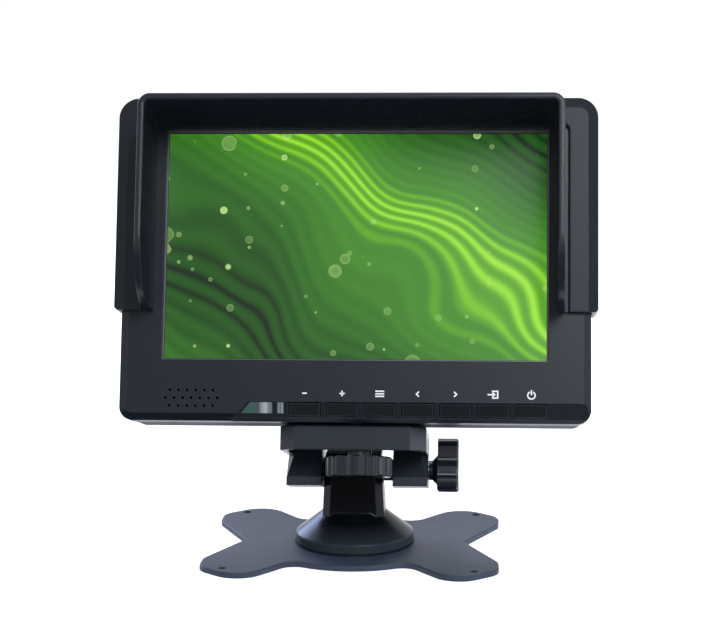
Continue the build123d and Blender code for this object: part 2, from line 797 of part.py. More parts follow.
def make_housing_screws():
    screws = Part()
    for x, z in screw_places:
        head = rod_y(screw_head_radius, screw_seat_y, screw_seat_y + screw_head_height, x, z)
        cross_y = screw_seat_y + screw_head_height / 2
        cross = block(x - 0.35, x + 0.35, cross_y, body_depth, z - 1.5, z + 1.5)
        cross += block(x - 1.5, x + 1.5, cross_y, body_depth, z - 0.35, z + 0.35)
        shank = rod_y(screw_shank_radius, screw_end_y, screw_seat_y, x, z)
        screws += head - cross + shank
    return screws


def make_hdmi_socket():
    half_x = hdmi_width / 2
    half_z = hdmi_height / 2
    sheet = 0.6
    shell = block(hdmi_x - half_x, hdmi_x + half_x, board_back_y, body_depth - 0.2,
                  socket_z - half_z, socket_z + half_z)
    shell -= block(hdmi_x - half_x + sheet, hdmi_x + half_x - sheet, board_back_y + 3, body_depth,
                   socket_z - half_z + sheet, socket_z + half_z - sheet)
    tongue = block(hdmi_x - 5.2, hdmi_x + 5.2, board_back_y + 2, body_depth - 1.2,
                   socket_z - 0.5, socket_z + 0.5)
    return shell + tongue


def make_jack(x):
    jack = rod_y(jack_radius, board_back_y, body_depth - 0.1, x, socket_z)
    return jack - rod_y(jack_bore_radius, board_back_y + 1, body_depth + 1, x, socket_z)


def make_dc_jack():
    jack = rod_y(dc_radius, board_back_y, body_depth - 0.1, dc_x, socket_z)
    jack -= rod_y(dc_bore_radius, board_back_y + 2, body_depth + 1, dc_x, socket_z)
    return jack + rod_y(dc_pin_radius, board_back_y + 1, body_depth - 1.5, dc_x, socket_z)


# ---- sun hood ---------------------------------------------------------------

def slot_outline(margin):
    """The flange's opening round the canopy, larger all round by a margin."""
    half = canopy_root_half + slot_width + margin
    top = canopy_root_top_z + slot_width + margin
    corner = canopy_corner
    return outline((-half, 0), (half, 0), (half, top - corner), (half - corner, top), (corner - half, top),
                   (-half, top - corner))


def make_hood_frame():
    outer_margin = slide_gap + hood_wall
    frame = front_slab(body_outline(outer_margin), -hood_front, hood_rear)
    rim = frame.faces().sort_by(Axis.Y)[0]
    frame = chamfer(rim.edges(), flange_bevel, flange_bevel_deep, reference=rim)
    frame -= front_slab(body_outline(slide_gap), flange_thickness - hood_front, hood_rear + 1)
    frame -= block(-beyond, beyond, -beyond, beyond, -beyond, hood_bottom_z)
    frame -= front_slab(slot_outline(0), -hood_front - 1, 1)
    frame -= loft([Plane.XZ.offset(hood_front) * slot_outline(slot_bevel),
                   Plane.XZ.offset(hood_front - slot_bevel) * slot_outline(0)])
    hook_x = body_width / 2 + slide_gap
    hook_y = shell_depth + face_gap
    hook_top_z = body_height - body_corner - 12
    for side in (-1, 1):
        hook = block(hook_x - hook_reach, hook_x + 0.5, hook_y, hook_y + hook_depth,
                     hood_bottom_z, hook_top_z)
        frame += hook if side > 0 else mirror(hook, Plane.YZ)
    ends = [e for e in frame.edges().filter_by(Axis.Y) if abs(e.center().Z - hood_bottom_z) < 0.1
            and abs(e.center().X) > body_width / 2 + slide_gap + 1]
    return chamfer(ends, arm_corner)


def canopy_outline(inset, draw_in, rise):
    """The canopy's front view, which runs on below the hood's foot."""
    low = -10.0 * (1 + inset)
    top = canopy_root_top_z + rise - inset
    width = 2 * (canopy_root_half - draw_in - inset)
    return Pos(0, (top + low) / 2) * RectangleRounded(width, top - low, canopy_corner - inset)


def canopy_form(inset):
    """The canopy's outer form, or its hollow when inset; its roof climbs to the front."""
    root = Plane.XZ * canopy_outline(inset, 0, 0)
    front = Plane.XZ.offset(canopy_depth) * canopy_outline(inset, canopy_draw_in, canopy_rise)
    return loft([root, front])


def canopy_foot_cutter():
    """What the canopy's sides lose below their curved lower front edge."""
    turn_z = hood_bottom_z + canopy_heel_radius
    turn_y = canopy_heel_radius - canopy_depth
    corner = outline((-beyond, 0), (turn_y, 0), (turn_y, turn_z), (-beyond, turn_z))
    corner -= Pos(turn_y, turn_z) * Circle(canopy_heel_radius)
    under = outline((-beyond, -beyond), (beyond, -beyond), (beyond, hood_bottom_z), (-beyond, hood_bottom_z))
    return side_slab(corner + under, -beyond, beyond)


def make_hood_canopy():
    canopy = canopy_form(0) - canopy_form(canopy_wall)
    canopy -= block(-beyond, beyond, -beyond, beyond, -beyond, 0)
    rim = [e for e in canopy.faces().sort_by(Axis.Y)[0].edges() if e.center().Z > 1]
    canopy = fillet(rim, canopy_rim_round)
    lip_outline = body_outline(-slide_gap - seam_gap) - canopy_outline(canopy_wall, 0, 0)
    canopy += front_slab(lip_outline, -canopy_lip_front, -slide_gap)
    canopy -= canopy_foot_cutter()
    return canopy - block(-beyond, beyond, -slide_gap, beyond, -beyond, beyond)


# ---- assembly ---------------------------------------------------------------

def build_all():
    nodes = {
        "base_plate": make_base_plate(),
        "base_pads": make_base_pads(),
        "bearing_disc": make_bearing_disc(),
        "swivel_screw": make_swivel_screw(),
        "column": make_column(),
        "tilt_head": to_head(make_tilt_head()),
        "head_mat": to_head(make_head_mat()),
        "tilt_bolt": to_head(make_tilt_bolt()),
        "tilt_spacer": to_head(make_spacer()),
        "tilt_knob": to_head(make_tilt_knob()),
        "thumbwheel": to_head(make_thumbwheel()),
        "tripod_stud": to_head(make_tripod_stud()),
        "front_bezel": to_monitor(make_front_bezel()),
        "rear_cover": to_monitor(make_rear_cover()),
        "lcd_frame": to_monitor(make_lcd_frame()),
        "lcd_panel": to_monitor(module_layer(glass_y, backlight_y)),
        "backlight_module": to_monitor(module_layer(backlight_y, module_back_y)),
        "main_board": to_monitor(make_main_board()),
        "key_board": to_monitor(make_key_board()),
        "tact_switches": to_monitor(make_tact_switches()),
        "speaker": to_monitor(make_speaker()),
        "remote_window": to_monitor(make_remote_window()),
        "remote_receiver": to_monitor(make_remote_receiver()),
        "status_light_pipe": to_monitor(make_light_pipe()),
        "status_led": to_monitor(make_status_led()),
        "tripod_insert": to_monitor(make_tripod_insert()),
        "housing_screws": to_monitor(make_housing_screws()),
        "hdmi_socket": to_monitor(make_hdmi_socket()),
        "av_socket": to_monitor(make_jack(av_x)),
        "earphone_jack": to_monitor(make_jack(phone_x)),
        "dc_jack": to_monitor(make_dc_jack()),
        "hood_frame": to_monitor(make_hood_frame()),
        "hood_canopy": to_monitor(make_hood_canopy()),
    }
    for i, name in enumerate(key_names):
        nodes["button_" + name] = to_monitor(make_key(i))
    return nodes


os.makedirs("parts", exist_ok=True)
for node_name, node_part in build_all().items():
    export_step(node_part, "parts/" + node_name + ".step")
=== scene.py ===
"""Looks of a camera field monitor with a slip-on sun hood, on a tilting desk stand.

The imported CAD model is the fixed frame. Its nodes keep their shape and take a finish here, and the
printed signs above the keys are added as thin pieces of ink. Lengths are in metres unless a name
ends in _mm.
"""
from __future__ import annotations

import json
import logging
import math
from collections.abc import Iterable, Mapping, Sequence
from dataclasses import dataclass, field
from enum import Enum

import bmesh
import bpy
from mathutils import Matrix, Vector

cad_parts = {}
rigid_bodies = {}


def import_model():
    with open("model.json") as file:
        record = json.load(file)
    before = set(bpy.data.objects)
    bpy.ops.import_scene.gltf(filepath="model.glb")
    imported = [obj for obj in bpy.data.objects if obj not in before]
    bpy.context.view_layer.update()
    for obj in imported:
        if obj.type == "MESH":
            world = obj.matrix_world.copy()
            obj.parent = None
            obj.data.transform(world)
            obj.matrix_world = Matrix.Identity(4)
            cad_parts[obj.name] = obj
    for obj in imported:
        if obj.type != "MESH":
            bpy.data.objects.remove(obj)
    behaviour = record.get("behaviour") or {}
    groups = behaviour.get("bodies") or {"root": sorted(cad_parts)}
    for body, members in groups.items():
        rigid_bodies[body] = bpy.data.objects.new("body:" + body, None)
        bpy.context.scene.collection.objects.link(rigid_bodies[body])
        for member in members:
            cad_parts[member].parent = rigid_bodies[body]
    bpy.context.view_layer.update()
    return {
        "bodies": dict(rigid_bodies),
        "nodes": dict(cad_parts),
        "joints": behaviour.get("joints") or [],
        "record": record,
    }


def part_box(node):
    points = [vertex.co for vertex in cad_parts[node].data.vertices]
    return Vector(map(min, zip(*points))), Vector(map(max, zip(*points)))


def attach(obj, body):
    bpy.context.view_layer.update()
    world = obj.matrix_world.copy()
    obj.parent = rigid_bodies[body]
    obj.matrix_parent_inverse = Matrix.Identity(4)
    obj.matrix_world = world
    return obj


LOG = logging.getLogger("field_monitor")
MM = 0.001
ACROSS = Vector((1.0, 0.0, 0.0))        # to the viewer's right, which is the housing's too
NOISE_LOW, NOISE_HIGH = 0.3, 0.7        # nearly all values of a noise texture lie between these
NOISE_MEAN = (0.5, 0.5, 0.5)            # of its colour
WAVE_UNIT = math.tau / 20               # a wave texture of this scale repeats once in each unit
IN_PLANE = (1.0, 0.0, 1.0)              # keeps a place on the screen and drops its depth
BEVEL_SAMPLES = 4
# the Mix node's sockets for colours: share, colour below, colour above, result
MIX_SHARE, MIX_BELOW, MIX_ABOVE, MIX_RESULT = 0, 6, 7, 2

Socket = bpy.types.NodeSocket
Tree = bpy.types.NodeTree
Colour = tuple[float, float, float, float]
Value = float | tuple[float, ...] | Socket
Point = tuple[float, float]
Stop = tuple[float, str]                        # a colour ramp's place and hex colour
Dressing = tuple["Finish", Sequence[str]]       # a finish and the nodes that take it


# ---- small tools ------------------------------------------------------------------

def linear(hex_colour: str) -> Colour:
    """Turn an sRGB hex colour into Blender's linear one.

    Args:
        hex_colour: six hex digits with a leading #.

    Returns:
        Linear red, green and blue, and an alpha of 1.
    """
    parts = [int(hex_colour[i:i + 2], 16) / 255 for i in (1, 3, 5)]
    red, green, blue = (p / 12.92 if p <= 0.04045 else ((p + 0.055) / 1.055) ** 2.4 for p in parts)
    return red, green, blue, 1.0


def add(tree: Tree, kind: str, inputs: Mapping[str | int, Value] | None = None,
        stops: Sequence[Stop] = (), **settings: object) -> bpy.types.Node:
    """Add one shader node with its settings and links.

    Args:
        tree: node tree that takes the node.
        kind: Blender's node type without its "ShaderNode" prefix.
        inputs: a value or another node's output, by input name or index.
        stops: a colour ramp's stops, from its low end to its high end.
        settings: attributes to set on the node.

    Returns:
        The new node.
    """
    node = tree.nodes.new("ShaderNode" + kind)
    for name, setting in settings.items():
        setattr(node, name, setting)
    for key, value in (inputs or {}).items():
        if isinstance(value, Socket):
            tree.links.new(value, node.inputs[key])
        else:
            node.inputs[key].default_value = value
    if stops:
        elements = node.color_ramp.elements
        elements[0].position, elements[1].position = stops[0][0], stops[-1][0]
        for place, _ in stops[1:-1]:
            elements.new(place)
        for element, (_, colour) in zip(elements, stops, strict=True):
            element.color = linear(colour)
    return node


def seen(tree: Tree) -> Socket:
    """Tell rays that the eye follows from those that only carry light.

    Args:
        tree: node tree that takes the nodes.

    Returns:
        1 for a ray from the camera, in a gloss or through a clear piece, otherwise 0.
    """
    rays = add(tree, "LightPath").outputs
    direct = add(tree, "Math", {0: rays["Is Camera Ray"], 1: rays["Is Glossy Ray"]},
                 operation="MAXIMUM").outputs[0]
    return add(tree, "Math", {0: direct, 1: rays["Is Transmission Ray"]},
               operation="MAXIMUM").outputs[0]


def direction(azimuth: float, elevation: float) -> Vector:
    """Give the direction in which something stands, seen from the object.

    Args:
        azimuth: degrees from the viewer's side, to the right.
        elevation: degrees above the level.

    Returns:
        A vector of length 1.
    """
    turn, rise = math.radians(azimuth), math.radians(elevation)
    return Vector((math.sin(turn) * math.cos(rise), -math.cos(turn) * math.cos(rise),
                   math.sin(rise)))


def frame_joint(frame: Mapping[str, object], name: str) -> Mapping[str, object]:
    """Find a joint of the frame by its name."""
    return next(joint for joint in frame["joints"] if joint["name"] == name)


# ---- finishes ---------------------------------------------------------------------

@dataclass(frozen=True)
class Finish:
    """A named surface finish; each kind of finish says what its surface is."""

    name: str

    def material(self) -> bpy.types.Material:
        """Build the node material.

        Returns:
            The material, ready for a material slot.
        """
        material = bpy.data.materials.new(self.name)
        material.use_nodes = True
        tree = material.node_tree
        tree.nodes.clear()
        add(tree, "OutputMaterial", {"Surface": self.surface(tree)})
        return material

    def surface(self, tree: Tree) -> Socket:
        """Add the finish's own nodes and give the shader's output."""
        raise NotImplementedError

    def place_mm(self, tree: Tree) -> Socket:
        """Give the object's own coordinates in millimetres."""
        here = add(tree, "TexCoord").outputs["Object"]
        return add(tree, "VectorMath", {0: here, "Scale": 1 / MM}, operation="SCALE").outputs[0]


@dataclass(frozen=True)
class MouldedPlastic(Finish):
    """Injection-moulded ABS, acetal or nylon from a spark-eroded tool.

    The erosion leaves a fine even grain that spreads highlights, and the edges take a pale painted
    highlight.
    """

    colour: str
    roughness: float
    grain_mm: float = 0.45              # the real grain is about 0.1 mm; drawn coarser to show
    grain_depth_mm: float = 0.012
    grain_strength: float = 0.7
    edge_mm: float = 0.35               # radius of the moulding's edges
    gloss: float = 0.5                  # specular level, lower where the grain dulls it
    flow_mm: float = 45.0               # size of the patches in which the gloss drifts
    glossier: float = 0.03              # how far the roughness drifts down
    duller: float = 0.04                # and up
    edge_highlight: str = "#39424d"             # pale highlight painted along the edges
    edge_highlight_mm: float = 0.35
    edge_highlight_share: float = 0.8
    edge_highlight_start: float = 0.99          # cosine of the edge's turn where the painted highlight starts
    edge_highlight_full: float = 0.94           # and where it is full
    pale_patch: str = ""                      # colour of a highlight painted low down, if any
    low_highlight_top_mm: float = 13.0
    low_highlight_full_mm: float = 4.0

    def surface(self, tree: Tree) -> Socket:
        """Make grainy plastic whose gloss drifts a little over each moulding.

        Args:
            tree: takes the nodes.

        Returns:
            The shader's output.
        """
        place = self.place_mm(tree)
        grain = add(tree, "TexNoise", {"Vector": place, "Scale": 1 / self.grain_mm, "Detail": 1.0})
        flow = add(tree, "TexNoise", {"Vector": place, "Scale": 1 / self.flow_mm, "Detail": 2.0})
        rough = add(tree, "MapRange", {
            "Value": flow.outputs[0], "From Min": NOISE_LOW, "From Max": NOISE_HIGH,
            "To Min": self.roughness - self.glossier, "To Max": self.roughness + self.duller})
        edge = add(tree, "Bevel", {"Radius": self.edge_mm * MM}, samples=BEVEL_SAMPLES)
        bump = add(tree, "Bump", {
            "Height": grain.outputs[0], "Distance": self.grain_depth_mm * MM,
            "Strength": self.grain_strength, "Normal": edge.outputs["Normal"]})
        return add(tree, "BsdfPrincipled", {
            "Base Color": self.painted_edge_highlight(tree, self.low_highlit_shade(tree, place)),
            "Roughness": rough.outputs[0], "IOR": 1.5, "Specular IOR Level": self.gloss,
            "Normal": bump.outputs[0]}).outputs[0]

    def low_highlit_shade(self, tree: Tree, place: Socket) -> Value:
        """Give the plastic's colour, paler low down where a highlight is painted.

        Args:
            tree: takes the nodes.
            place: the object's coordinates in millimetres.

        Returns:
            The plain colour, or the output of the mixed one.
        """
        plain = linear(self.colour)
        if not self.pale_patch:
            return plain
        height = add(tree, "SeparateXYZ", {0: place}).outputs["Z"]
        fall = add(tree, "MapRange", {"Value": height, "From Min": self.low_highlight_top_mm,
                                      "From Max": self.low_highlight_full_mm})
        return add(tree, "Mix", {
            MIX_SHARE: fall.outputs[0], MIX_BELOW: plain, MIX_ABOVE: linear(self.pale_patch)},
            data_type="RGBA").outputs[MIX_RESULT]

    def painted_edge_highlight(self, tree: Tree, shade: Value) -> Socket:
        """Paint a pale highlight along the edges, where the rounded normal leaves the true one.

        Args:
            tree: takes the nodes.
            shade: the colour away from the edges.

        Returns:
            The output of the mixed colour.
        """
        flat = add(tree, "NewGeometry").outputs["True Normal"]
        turned = add(tree, "Bevel", {"Radius": self.edge_highlight_mm * MM}, samples=BEVEL_SAMPLES)
        level = add(tree, "VectorMath", {0: flat, 1: turned.outputs["Normal"]},
                    operation="DOT_PRODUCT").outputs["Value"]
        edge = add(tree, "MapRange", {"Value": level, "From Min": self.edge_highlight_start,
                                      "From Max": self.edge_highlight_full, "To Max": self.edge_highlight_share})
        return add(tree, "Mix", {
            MIX_SHARE: edge.outputs[0], MIX_BELOW: shade, MIX_ABOVE: linear(self.edge_highlight)},
            data_type="RGBA").outputs[MIX_RESULT]


@dataclass(frozen=True)
class PowderCoat(Finish):
    """Pressed sheet steel under baked powder coat.

    The powder melts into a soft orange-peel skin with a satin sheen.
    """

    colour: str
    speck: str
    roughness: float = 0.5
    gloss: float = 0.3
    peel_mm: float = 1.1
    peel_depth_mm: float = 0.02
    peel_strength: float = 0.6
    mottle_mm: float = 14.0
    edge_mm: float = 0.3

    def surface(self, tree: Tree) -> Socket:
        """Make satin paint with a slight mottle and orange peel.

        Args:
            tree: takes the nodes.

        Returns:
            The shader's output.
        """
        place = self.place_mm(tree)
        peel = add(tree, "TexNoise", {"Vector": place, "Scale": 1 / self.peel_mm, "Detail": 1.5})
        mottle = add(tree, "TexNoise", {"Vector": place, "Scale": 1 / self.mottle_mm,
                                        "Detail": 3.0})
        paint = add(tree, "ValToRGB", {"Fac": mottle.outputs[0]},
                    stops=((0.35, self.colour), (0.75, self.speck)))
        edge = add(tree, "Bevel", {"Radius": self.edge_mm * MM}, samples=BEVEL_SAMPLES)
        bump = add(tree, "Bump", {
            "Height": peel.outputs[0], "Distance": self.peel_depth_mm * MM,
            "Strength": self.peel_strength, "Normal": edge.outputs["Normal"]})
        return add(tree, "BsdfPrincipled", {
            "Base Color": paint.outputs[0], "Roughness": self.roughness, "IOR": 1.5,
            "Specular IOR Level": self.gloss, "Normal": bump.outputs[0]}).outputs[0]


@dataclass(frozen=True)
class DullBlack(Finish):
    """Moulded rubber, coated steel, pressed paper or card: dull, with hardly a highlight."""

    colour: str
    bloom: str                          # paler patches of bloom and dust
    bloom_mm: float = 5.0
    bloom_depth_mm: float = 0.05
    bloom_strength: float = 0.5
    roughness: float = 0.85
    gloss: float = 0.3

    def surface(self, tree: Tree) -> Socket:
        """Make dull black with a pale bloom in patches.

        Args:
            tree: takes the nodes.

        Returns:
            The shader's output.
        """
        place = self.place_mm(tree)
        pale_patch = add(tree, "TexNoise", {"Vector": place, "Scale": 1 / self.bloom_mm, "Detail": 4.0})
        shade = add(tree, "ValToRGB", {"Fac": pale_patch.outputs[0]},
                    stops=((0.45, self.colour), (0.8, self.bloom)))
        bump = add(tree, "Bump", {"Height": pale_patch.outputs[0], "Distance": self.bloom_depth_mm * MM,
                                  "Strength": self.bloom_strength})
        return add(tree, "BsdfPrincipled", {
            "Base Color": shade.outputs[0], "Roughness": self.roughness,
            "Specular IOR Level": self.gloss, "Normal": bump.outputs[0]}).outputs[0]


@dataclass(frozen=True)
class PlatedMetal(Finish):
    """Turned or stamped metal with thin plating, which keeps the tool's fine lines."""

    colour: str
    roughness: float
    line_mm: float = 0.3
    glossier: float = 0.08              # how far the lines take the roughness down
    duller: float = 0.1                 # and up
    edge_mm: float = 0.15

    def surface(self, tree: Tree) -> Socket:
        """Make bright metal with faint tool lines in its gloss.

        Args:
            tree: takes the nodes.

        Returns:
            The shader's output.
        """
        place = self.place_mm(tree)
        lines = add(tree, "TexNoise", {"Vector": place, "Scale": 1 / self.line_mm, "Detail": 2.0})
        rough = add(tree, "MapRange", {"Value": lines.outputs[0],
                                       "To Min": self.roughness - self.glossier,
                                       "To Max": self.roughness + self.duller})
        edge = add(tree, "Bevel", {"Radius": self.edge_mm * MM}, samples=BEVEL_SAMPLES)
        return add(tree, "BsdfPrincipled", {
            "Base Color": linear(self.colour), "Metallic": 1.0, "Roughness": rough.outputs[0],
            "Normal": edge.outputs["Normal"]}).outputs[0]


@dataclass(frozen=True)
class Board(Finish):
    """Glass-fibre board under solder mask, with faint copper tracks below it."""

    mask: str
    track: str
    pitch_mm: float = 6.0
    track_share: float = 0.03

    def surface(self, tree: Tree) -> Socket:
        """Make green lacquer over a grid of tracks.

        Args:
            tree: takes the nodes.

        Returns:
            The shader's output.
        """
        place = self.place_mm(tree)
        tracks = add(tree, "TexBrick", {
            "Vector": place, "Scale": 1 / self.pitch_mm, "Color1": linear(self.mask),
            "Color2": linear(self.mask), "Mortar": linear(self.track),
            "Mortar Size": self.track_share})
        return add(tree, "BsdfPrincipled", {
            "Base Color": tracks.outputs[0], "Roughness": 0.4, "Coat Weight": 0.3}).outputs[0]


@dataclass(frozen=True)
class TintedResin(Finish):
    """Polished acrylic or cast epoxy, tinted in fields that run into each other.

    The gloss comes from the polished tool; the tint is in the resin and in what lies behind it.
    """

    tints: Sequence[Stop]               # from the piece's left end to its right end
    left_mm: float = 0.0
    right_mm: float = 1.0
    edge_mm: float = 0.2

    def surface(self, tree: Tree) -> Socket:
        """Make a glossy piece whose tint changes from left to right.

        Args:
            tree: takes the nodes.

        Returns:
            The shader's output.
        """
        across = add(tree, "SeparateXYZ", {0: self.place_mm(tree)}).outputs["X"]
        side = add(tree, "MapRange", {"Value": across, "From Min": self.left_mm,
                                      "From Max": self.right_mm})
        tint = add(tree, "ValToRGB", {"Fac": side.outputs[0]}, stops=self.tints)
        edge = add(tree, "Bevel", {"Radius": self.edge_mm * MM}, samples=BEVEL_SAMPLES)
        return add(tree, "BsdfPrincipled", {
            "Base Color": tint.outputs[0], "Roughness": 0.12, "IOR": 1.49,
            "Normal": edge.outputs["Normal"]}).outputs[0]


@dataclass(frozen=True)
class Ink(Finish):
    """Pad-printed white ink, slightly raised and matt."""

    colour: str
    thin: str = "#c9ccce"               # where the ink covers less
    patch_mm: float = 0.25

    def surface(self, tree: Tree) -> Socket:
        """Make flat white whose cover varies a little.

        Args:
            tree: takes the nodes.

        Returns:
            The shader's output.
        """
        place = self.place_mm(tree)
        cover = add(tree, "TexNoise", {"Vector": place, "Scale": 1 / self.patch_mm, "Detail": 2.0})
        white = add(tree, "ValToRGB", {"Fac": cover.outputs[0]},
                    stops=((0.2, self.thin), (0.6, self.colour)))
        return add(tree, "BsdfPrincipled", {
            "Base Color": white.outputs[0], "Roughness": 0.5}).outputs[0]


@dataclass(frozen=True)
class Lights:
    """A layer of round out-of-focus lights in the screen's picture."""

    cell_mm: float                      # mean distance between the lights
    size: float                         # largest radius, as a share of that distance
    empty: float                        # share of the cells that have no light
    scatter: float = 0.9
    soft_edge: float = 0.02             # width of a light's soft edge, as a share of the distance
    rim: float = 0.07                   # depth at which its brighter rim has faded, likewise
    rim_cover: float = 0.95
    inner_cover: float = 0.45
    faintest: float = 0.3               # cover of the faintest light beside the brightest
    colour: str = "#c4eb93"


@dataclass(frozen=True)
class LitScreen(Finish):
    """The lit screen: a liquid crystal panel under a matt anti-glare film.

    It shows a soft test picture of flowing green bands with round out-of-focus lights.
    """

    centre_mm: tuple[float, float, float]
    lean: float                         # of the panel, in radians
    half_width_mm: float
    half_height_mm: float
    band_mm: float = 118.0              # from one broad band to the next
    band_phase: float = 2.2             # where on the screen they lie
    ripple_mm: float = 5.5
    ripple_share: float = 0.12          # of the tone; the bands give the rest
    ripple_waver: float = 6.0           # the wave texture's distortion
    slant: float = math.radians(-32)    # of the bands
    bend_mm: float = 75.0               # size of the bends in the bands
    push_mm: float = 60.0               # how far a bend pushes them aside
    tones: Sequence[Stop] = (
        (0.0, "#061f02"), (0.06, "#154a0a"), (0.32, "#2b6a17"), (0.8, "#438a1f"),
        (0.9, "#5fa81a"), (0.96, "#80cc22"), (1.0, "#a0e438"))
    layers: Sequence[Lights] = (
        Lights(24.0, 0.24, 0.4), Lights(12.5, 0.3, 0.3), Lights(7.0, 0.26, 0.35))

    def surface(self, tree: Tree) -> Socket:
        """Put bands, ripples and lights inside the lit area, and black outside it.

        Args:
            tree: takes the nodes.

        Returns:
            The shader's output.
        """
        moved = add(tree, "VectorMath", {0: self.place_mm(tree), 1: self.centre_mm},
                    operation="SUBTRACT")
        place = add(tree, "VectorRotate", {"Vector": moved.outputs[0], "Angle": self.lean},
                    rotation_type="X_AXIS").outputs[0]
        picture = self.bands(tree, place)
        for layer in self.layers:
            picture = self.lights(tree, place, picture, layer)
        shown = add(tree, "Mix", {
            MIX_SHARE: self.lit_area(tree, place), MIX_BELOW: linear("#000000"),
            MIX_ABOVE: picture}, data_type="RGBA")
        return add(tree, "BsdfPrincipled", {
            "Base Color": linear("#020302"), "Roughness": 0.3, "Specular IOR Level": 0.25,
            "Emission Color": shown.outputs[MIX_RESULT], "Emission Strength": 1.0}).outputs[0]

    def bands(self, tree: Tree, place: Socket) -> Socket:
        """Make the flowing bands with their ripples.

        Args:
            tree: takes the nodes.
            place: coordinates on the screen, from its centre.

        Returns:
            The bands' colour.
        """
        drift = add(tree, "TexNoise", {"Vector": place, "Scale": 1 / self.bend_mm, "Detail": 1.0})
        pushed = add(tree, "VectorMath", {0: drift.outputs["Color"], 1: NOISE_MEAN},
                     operation="SUBTRACT")
        pushed = add(tree, "VectorMath", {0: pushed.outputs[0], "Scale": self.push_mm},
                     operation="SCALE")
        bent = add(tree, "VectorMath", {0: place, 1: pushed.outputs[0]}, operation="ADD")
        turned = add(tree, "VectorRotate", {"Vector": bent.outputs[0], "Angle": self.slant},
                     rotation_type="Y_AXIS").outputs[0]
        wide = add(tree, "TexWave", {
            "Vector": turned, "Scale": WAVE_UNIT / self.band_mm, "Phase Offset": self.band_phase},
            bands_direction="Z")
        fine = add(tree, "TexWave", {
            "Vector": turned, "Scale": WAVE_UNIT / self.ripple_mm,
            "Distortion": self.ripple_waver, "Detail": 1.0, "Detail Scale": 0.3},
            bands_direction="Z")
        soft = add(tree, "MapRange", {"Value": wide.outputs[1], "To Max": 1 - self.ripple_share})
        tone = add(tree, "Math", {0: fine.outputs[1], 1: self.ripple_share, 2: soft.outputs[0]},
                   operation="MULTIPLY_ADD")
        return add(tree, "ValToRGB", {"Fac": tone.outputs[0]}, stops=self.tones).outputs[0]

    def lights(self, tree: Tree, place: Socket, under: Socket, layer: Lights) -> Socket:
        """Lay a layer of round lights over a colour.

        Args:
            tree: takes the nodes.
            place: coordinates on the screen, from its centre.
            under: the colour below the lights.
            layer: their size and spacing.

        Returns:
            The colour with the lights.
        """
        level = add(tree, "VectorMath", {0: place, 1: IN_PLANE}, operation="MULTIPLY")
        cells = add(tree, "TexVoronoi", {
            "Vector": level.outputs[0], "Scale": 1 / layer.cell_mm, "Randomness": layer.scatter},
            voronoi_dimensions="3D")
        chance = add(tree, "SeparateColor", {0: cells.outputs["Color"]})
        radius = add(tree, "MapRange", {"Value": chance.outputs[0], "From Min": layer.empty,
                                        "To Min": 0.0, "To Max": layer.size})
        depth = add(tree, "Math", {0: radius.outputs[0], 1: cells.outputs["Distance"]},
                    operation="SUBTRACT").outputs[0]
        disc = add(tree, "MapRange", {"Value": depth, "From Min": 0.0,
                                      "From Max": layer.soft_edge})
        cover = add(tree, "MapRange", {
            "Value": depth, "From Min": layer.soft_edge, "From Max": layer.rim,
            "To Min": layer.rim_cover, "To Max": layer.inner_cover})
        bright = add(tree, "MapRange", {"Value": chance.outputs[1], "To Min": layer.faintest,
                                        "To Max": 1.0})
        veil = add(tree, "Math", {0: disc.outputs[0], 1: cover.outputs[0]}, operation="MULTIPLY")
        veil = add(tree, "Math", {0: veil.outputs[0], 1: bright.outputs[0]}, operation="MULTIPLY")
        return add(tree, "Mix", {
            MIX_SHARE: veil.outputs[0], MIX_BELOW: under, MIX_ABOVE: linear(layer.colour)},
            data_type="RGBA").outputs[MIX_RESULT]

    def lit_area(self, tree: Tree, place: Socket) -> Socket:
        """Mark the lit rectangle.

        Args:
            tree: takes the nodes.
            place: coordinates on the screen, from its centre.

        Returns:
            1 inside the rectangle and 0 outside it.
        """
        parts = add(tree, "SeparateXYZ", {0: place})
        inside = []
        for axis, half in (("X", self.half_width_mm), ("Z", self.half_height_mm)):
            size = add(tree, "Math", {0: parts.outputs[axis]}, operation="ABSOLUTE").outputs[0]
            inside.append(add(tree, "Math", {0: size, 1: half}, operation="LESS_THAN").outputs[0])
        return add(tree, "Math", {0: inside[0], 1: inside[1]}, operation="MULTIPLY").outputs[0]


@dataclass(frozen=True)
class SweepPaper(Finish):
    """White paper sweep: white to the eye, with the object's soft shadow kept."""

    colour: str
    lift: float                         # near the object, where its shadow falls
    far_lift: float                     # farther out, where the lamps give less
    near: float = 0.12
    far: float = 0.5

    def surface(self, tree: Tree) -> Socket:
        """Make diffuse paper, lifted towards white only where the eye sees it.

        Args:
            tree: takes the nodes.

        Returns:
            The shader's output.
        """
        paper = add(tree, "BsdfDiffuse", {"Color": linear(self.colour)})
        away = add(tree, "VectorMath", {0: add(tree, "TexCoord").outputs["Object"]},
                   operation="LENGTH").outputs["Value"]
        lift = add(tree, "MapRange", {"Value": away, "From Min": self.near, "From Max": self.far,
                                      "To Min": self.lift, "To Max": self.far_lift})
        power = add(tree, "Math", {0: seen(tree), 1: lift.outputs[0]}, operation="MULTIPLY")
        glow = add(tree, "Emission", {"Strength": power.outputs[0]})
        return add(tree, "AddShader", {0: paper.outputs[0], 1: glow.outputs[0]}).outputs[0]


# ---- the object -------------------------------------------------------------------

@dataclass
class Assembly:
    """A sub-assembly: CAD nodes by finish, dressed in one call."""

    frame: Mapping[str, object]

    def finishes(self) -> Iterable[Dressing]:
        """Give each finish and the nodes that take it."""
        raise NotImplementedError

    def build(self) -> None:
        """Do what the assembly needs besides its finishes; most need nothing."""

    def dress(self) -> None:
        """Give every node of the assembly its finish."""
        for finish, nodes in self.finishes():
            material = finish.material()
            for name in nodes:
                node = self.frame["nodes"][name]
                for slot in node.material_slots:
                    slot.material = material
                LOG.info("%s: %s", name, finish.name)


